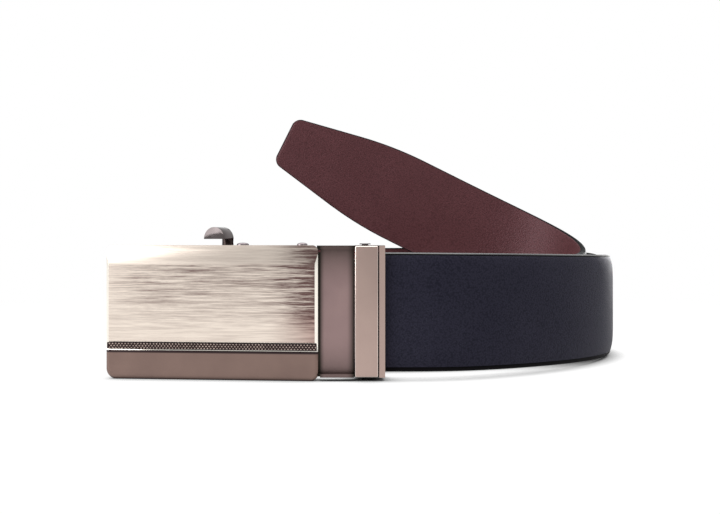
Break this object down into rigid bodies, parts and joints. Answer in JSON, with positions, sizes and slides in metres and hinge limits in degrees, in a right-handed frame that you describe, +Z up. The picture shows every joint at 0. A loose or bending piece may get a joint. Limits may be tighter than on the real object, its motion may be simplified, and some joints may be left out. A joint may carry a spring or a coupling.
{
  "type": "ratchet belt",
  "caption": "Leather ratchet belt standing loosely coiled on its edge, with a hinged flat-plate buckle, release lever and strap clamp, and the tapered free end rising at the back.",
  "frame": {"origin": "Under the middle of the whole belt, on the surface that it stands on.", "axes": "+X to the right across the picture, the longest way; +Y away from the viewer, from the buckle to the back of the coil; +Z up, along the strap's width."},
  "size_m": [0.1662, 0.1302, 0.0898],
  "materials": {
    "strap_face_leather": "fine grain, satin",
    "strap_back_leather": "fine pebble grain, matte",
    "black_plastic": "matte",
    "champagne_plating": "brushed lengthwise, bevel polished",
    "taupe_plating": "satin",
    "mauve_plating": "satin",
    "gunmetal": "polished dark"
  },
  "bodies": {
    "strap": {"strap_outer": "strap_face_leather", "strap_inner": "strap_back_leather", "ratchet_track": "black_plastic", "neck_channel": "taupe_plating", "clamp_band": "mauve_plating", "jaw_pin": "gunmetal", "hinge_pin": "gunmetal"},
    "buckle": {"face_plate": "champagne_plating", "knurl_strip": "taupe_plating", "buckle_frame": "taupe_plating", "guide_pin": "gunmetal"},
    "lever": {"release_lever": "gunmetal", "pawl": "gunmetal"},
    "jaw": {"clamp_jaw": "gunmetal"}
  },
  "joints": [
    {"name": "buckle_hinge", "type": "hinge", "parent": "strap", "child": "buckle", "pos_m": [-0.02487, -0.06039, 0.02], "axis": [0, 0, 1], "range_deg": [-16, 5.5]},
    {"name": "lever_turn", "type": "hinge", "parent": "buckle", "child": "lever", "pos_m": [-0.0482, -0.0492, 0.02], "axis": [0, 0, 1], "range_deg": [0, 20], "stiffness_Nm_per_rad": 0.02, "springref_deg": -17.19},
    {"name": "jaw_open", "type": "hinge", "parent": "strap", "child": "jaw", "pos_m": [-0.00637, -0.05659, 0.02], "axis": [0, 0, -1], "range_deg": [0, 75]}
  ]
}
